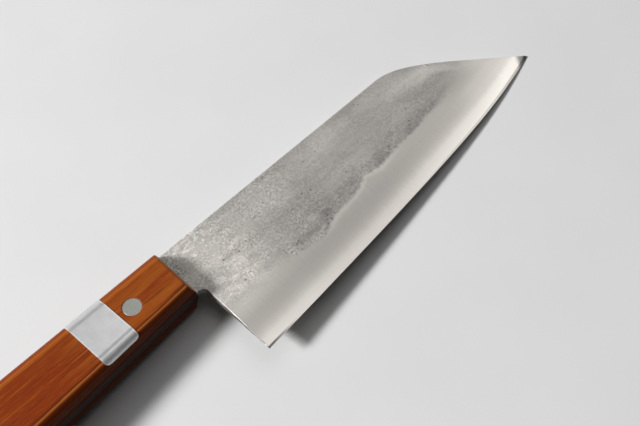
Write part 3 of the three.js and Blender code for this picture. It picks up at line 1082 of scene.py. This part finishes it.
def skin_grain(nodes, along, low, blots):
    """The flat's grain, how much lighter or darker it makes each spot, and the pits in it."""
    grain = nodes.noise(1.2, detail=4, roughness=0.65)
    patches = nodes.noise(0.15).turn(0.33, 0.67, 0.5, 1.25)
    strength = (along.turn(36, 84, 0.9, 0.4) + low * 0.4) * patches
    speckle = strength * grain.spread(-0.34, 0.34)
    crowd = low * 0.3 + blots.turn(0.45, 0.65, 0.04, 0.3)
    return grain, speckle, nodes.dots(0.8, 0.5, crowd * strength)


def spine_glow(along, below):
    """Light added in a strip below the spine, and in a narrower one below its drop."""
    broad = below.window((1, 5), (8, 17), 0.3)
    narrow = (below + along.ramp(DROP_SHIFTS)).window((3.5, 9.5), (11, 14.5), 0.1)
    return broad * along.ramp(SPINE_GLOWS) + narrow * along.ramp(DROP_GLOWS)


def heel_shine(nodes, along, below):
    """How much paler the flat is low down near the heel, in blotches."""
    near = along.turn(*HEEL_FADE, 1, 0.1)
    low = below.turn(10, 17)
    blots = nodes.noise(0.15, 0.2, 0.2, detail=5, roughness=0.65)
    return near * low * blots.turn(0.38, 0.64, 0.12, 0.5) + 1


def forge_flakes(nodes, along, below):
    """Ragged bright spots where scale flaked off, crowded along the spine by the handle."""
    ragged = nodes.noise(0.34, 0.5, 0.4, detail=5, roughness=0.68)
    limit = below.turn(3, 12, 0.47, 0.62)
    return (ragged - limit).turn(0, 0.05) * along.turn(16, 30, 1, 0)


def neck_specks_and_shadow(nodes, along, below):
    """How much light is left beside the handle: painted shadow that deepens the handle's cast
    shadow on the flat, with dark specks and pits in it.
    """
    specks = nodes.noise(1.1, roughness=0.7).turn(0.46, 0.62, 0, 0.5)
    beside = along.turn(3.5, 8, 1, 0) * below.turn(1, 3)
    fading = below.turn(8, 16, 1, 0.35)
    return 1 - beside * fading * (specks + 0.1)


def bevel_lip(nodes, along):
    """How much brighter the bevel is along its upper line, in the middle of the blade."""
    close = nodes.stored("above_grind").turn(-2.6, -0.8, 0, 0.17)
    return along.window((46, 58), (84, 104)) * close + 1


def bevel_satin(nodes, along, marks):
    """Brightness of the ground steel: bright along the edge, darkest half way up the bevel."""
    height = nodes.stored("above_edge") + marks.spread(-0.7, 0.7, smooth=False)
    height += along.turn(*TAPER_FADE, 0, -1.1)
    heel = along.turn(14, 36, 0.07, 0) * height.turn(11, 18)
    shade = height.ramp(BEVEL_SHADES) * along.ramp(BEVEL_GAINS) + heel
    lift = height.window((5, 8), (11, 14)) * along.turn(*TIP_FADE, 0, 0.13)
    drop = height.turn(10.5, 18.5, 0, -0.3) * along.ramp(UPPER_DROPS)
    return shade * (lift + drop + 1) * marks.spread(0.965, 1.035)


def steel_colour(nodes, shade):
    """Steel at a brightness, darkened towards brown on the tang's narrow sides and on the heel's
    rear face: brown patina and a duller finish there, with painted shade.
    """
    clean = nodes.mix(shade, grey(0), STEEL_TINT)
    return nodes.mix(nodes.stored("dull"), clean, TANG_SIDE)


def cladding_material():
    nodes = Nodes("pear_skin_steel")
    along = nodes.stored("along")
    marks = scratches(nodes)
    flat = flat_share(nodes, along)
    skin, relief = pear_skin(nodes, along)
    satin = bevel_satin(nodes, along, marks) * bevel_lip(nodes, along)
    # Painted highlight: the steel is lightened along the spine's eased edge, which is also rubbed
    # bright there.
    rubbing_and_highlight = nodes.stored("below_spine").turn(0.1, 0.45, 1.45, 1)
    shade = (skin * flat + satin * (1 - flat)) * rubbing_and_highlight
    pitted = nodes.bump(relief * flat, 0.04, 0.6)
    return nodes.finish(
        Base_Color=steel_colour(nodes, shade),
        Metallic=flat.turn(0, 1, 0.95, 0.4),
        Roughness=flat * 0.10 + marks.spread(0.31, 0.37),
        Normal=nodes.bump(marks, MARK_DEPTH, MARK_STRENGTH, pitted),
    )


def core_material():
    nodes = Nodes("bright_core_steel")
    along = nodes.stored("along")
    marks = scratches(nodes)
    honed = nodes.stored("above_honed").turn(0.85, 1.05, 1, 0)
    # painted dark reflection over the very tip, beyond a slanting line
    slanting = along - nodes.stored("above_edge") * 0.9
    dark_tip_reflection = slanting.turn(160.8, 164.8, 1, 0.3)
    shade = bevel_satin(nodes, along, marks) * dark_tip_reflection
    shade *= honed * (along.ramp(HONED_GAINS) - 1) + 1
    return nodes.finish(
        Base_Color=steel_colour(nodes, shade),
        Metallic=1,
        Roughness=marks.spread(0.29, 0.36),
        Normal=nodes.bump(marks, MARK_DEPTH, MARK_STRENGTH),
    )


def wood_colour(nodes, streaks, fibres):
    """Streaky orange-brown on the faces, and the edges of the plies on the rounded sides, with
    painted highlights along the spine-side edge, the belly edge and the front slope, and painted
    shade on the belly side.
    """
    figure = nodes.noise(0.014, 0.28, 0.3, detail=5, roughness=0.6)
    redder = nodes.stored("along").turn(-30, -55, -0.02, 0.24)
    depth = nodes.stored("below_face") + streaks.spread(-0.05, 0.05)
    belly = nodes.stored("towards_belly")
    # the plies count most towards the belly, where they also paint its shade and its edge
    # highlight
    plies_and_belly_light = belly.turn(0.3, 0.7, 0.2, 1)
    # painted highlight along the edge of the broad face on the spine side
    spine_edge_highlight = depth.window((0, 0.08), (0.25, 0.55)) * belly.turn(0.3, 0.5, 0.55, 0)
    colour = nodes.mix((figure + redder).turn(0.40, 0.66), WOOD_ORANGE, WOOD_RED)
    colour = nodes.mix(streaks.turn(0.52, 0.70, 0, 0.65), colour, WOOD_DARK)
    colour = nodes.mix(streaks.turn(0.45, 0.30, 0, 0.55), colour, WOOD_LIGHT)
    colour = nodes.mix(fibres.turn(0.54, 0.74, 0, 0.4), colour, WOOD_LIGHT)
    colour = nodes.mix(spine_edge_highlight, colour, WOOD_LIGHT)
    colour = nodes.mix(plies_and_belly_light * depth.ramp(PLY_DARK_AND_SHADE), colour, WOOD_DARK)
    colour = nodes.mix(plies_and_belly_light * depth.ramp(PLY_LIGHT_AND_HIGHLIGHT), colour, WOOD_TAN)
    # painted highlight over each scale's sloping front
    return nodes.mix(nodes.stored("front") * 0.85, colour, WOOD_FRONT_HIGHLIGHT)


def wood_material():
    nodes = Nodes("waxed_wood")
    streaks = nodes.noise(0.045, 1.2, 1.2, detail=4, roughness=0.65)
    fibres = nodes.noise(0.22, 4, 4, detail=2)
    pores = fibres.turn(0.26, 0.36, 1, 0)
    return nodes.finish(
        Base_Color=nodes.mix(pores * 0.6, wood_colour(nodes, streaks, fibres), WOOD_PORE),
        Roughness=streaks.spread(0.38, 0.5),
        Specular_IOR_Level=0.12,
        Normal=nodes.bump(fibres * 0.5 - pores * 0.6, 0.03, 0.5),
    )


def rivet_material():
    nodes = Nodes("satin_rivet_metal")
    grain = nodes.noise(2.6)
    rubbing_and_highlight = nodes.noise(0.5, 6, 2, detail=2)
    return nodes.finish(
        Base_Color=nodes.mix(grain.spread(), RIVET_DARK, RIVET_LIGHT),
        Metallic=0.8,
        Roughness=rubbing_and_highlight.spread(0.38, 0.5),
        Normal=nodes.bump(rubbing_and_highlight, 0.010, 0.4),
    )


def label_material():
    nodes = Nodes("blank_foil")
    sheen = nodes.noise(0.25, detail=2)
    grain = nodes.noise(9, detail=1)
    # painted highlight along the label's front and rear edges
    rim = nodes.stored("inside").turn(0.25, 0.6, 0.8, 0)
    # painted shade and painted reflection where the label bends over the belly's rounding
    bend_shading = nodes.stored("across").ramp(LABEL_SHADES)
    colour = nodes.mix(sheen.spread(), *map(grey, FOIL_SHADES))
    colour = nodes.mix(rim, colour, grey(FOIL_RIM_HIGHLIGHT))
    return nodes.finish(
        Base_Color=nodes.mix(bend_shading, grey(0), colour),
        Metallic=0.85,
        Roughness=grain.spread(0.32, 0.40),
        Normal=nodes.bump(grain, 0.003, 0.4),
    )


def floor_material():
    """Lit near the knife, evenly pale further off, and darker in the light that it throws back."""
    nodes = Nodes("pale_floor")
    path = nodes.make("ShaderNodeLightPath").outputs
    seen = nodes.math("MAXIMUM", path["Is Camera Ray"], path["Is Glossy Ray"])
    seen = nodes.math("MAXIMUM", seen, path["Is Transmission Ray"])
    pale = nodes.mix(nodes.noise(0.02).spread(), *map(grey, FLOOR_NEAR))
    distance = nodes.number("ShaderNodeVectorMath", "Value", {0: nodes.place}, operation="LENGTH")
    far = distance.turn(*FLOOR_FADE)
    return nodes.finish(
        Base_Color=nodes.mix(seen, grey(FLOOR_THROWN), nodes.mix(far, pale, grey(0))),
        Roughness=0.85,
        Specular_IOR_Level=0,
        Emission_Color=grey(1),
        Emission_Strength=seen * far * FLOOR_FAR,
    )


# Stage


def build_floor():
    """A plain floor that touches the handle's lower front edge and the blade's tip."""
    shape = Shape()
    rings = []
    for a in quarter_turn(ARC_STEPS):
        radius = FLOOR_FLAT + FLOOR_RIM * math.sin(a)
        rings.append(shape.ring(circle((0, 0), radius, FLOOR_RIM * (1 - math.cos(a)))))
    shape.skin(rings)
    shape.faces.append(tuple(rings[0]))
    mesh = bpy.data.meshes.new("floor")
    mesh.from_pydata(shape.points, [], shape.faces)
    tidy_faces(mesh)
    mesh.shade_smooth()
    mesh.materials.append(floor_material())
    floor = add_object("floor", mesh)
    front = place((0.0, 0.0, -BROAD_FACE))
    tip = place((TIP.x, TIP.y, -TIP_THICKNESS / 4))
    floor.location = front
    floor.rotation_euler = (0.0, -math.atan2(tip.z - front.z, tip.x - front.x), 0.0)
    floor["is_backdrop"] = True


def add_lamp(name, spot, aim, size, watts):
    """A square soft lamp at one place, turned towards another."""
    light = bpy.data.lights.new(name, "AREA")
    light.shape = "SQUARE"
    light.size = size
    light.energy = watts
    lamp = add_object(name, light)
    lamp.location = spot
    lamp.rotation_euler = (Vector(aim) - Vector(spot)).to_track_quat("-Z", "Y").to_euler()
    lamp.visible_camera = False


def light_stage():
    add_lamp("key", KEY_PLACE, KEY_AIM, KEY_SIZE, KEY_WATTS)
    add_lamp("top", TOP_PLACE, TOP_AIM, TOP_SIZE, TOP_WATTS)
    world = bpy.data.worlds.new("studio")
    world.use_nodes = True
    background = world.node_tree.nodes["Background"]
    background.inputs["Color"].default_value = grey(1)
    background.inputs["Strength"].default_value = WORLD_STRENGTH
    bpy.context.scene.world = world


def add_camera():
    data = bpy.data.cameras.new("camera")
    data.sensor_width = SENSOR_WIDTH
    data.lens = CAMERA_LENS
    data.clip_start = CLIP_START
    camera = add_object("camera", data)
    camera.location = in_frame(CAMERA_PLACE)
    tilt = math.radians(90 - CAMERA_ELEVATION)
    camera.rotation_euler = (tilt, 0.0, math.radians(CAMERA_AZIMUTH))
    bpy.context.scene.camera = camera


def build_knife():
    steel = cladding_material()
    wood = wood_material()
    metal = rivet_material()
    build_core(core_material())
    build_cladding("cladding_right", 1, steel)
    build_cladding("cladding_left", -1, steel)
    build_scale("scale_right", 1, wood)
    build_scale("scale_left", -1, wood)
    for where in RIVETS:
        build_rivet(where, metal)
    build_label(label_material())


def write_sizes():
    """The box of the CAD part and that of the finished pieces, worked out but neither kept nor
    written anywhere.
    """
    boxes = {"cad": CAD_BOX, "visual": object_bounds()}
    {name: [list(corner) for corner in box] for name, box in boxes.items()}


build_knife()
build_floor()
light_stage()
add_camera()
bpy.context.scene.view_settings.view_transform = "Standard"
write_sizes()
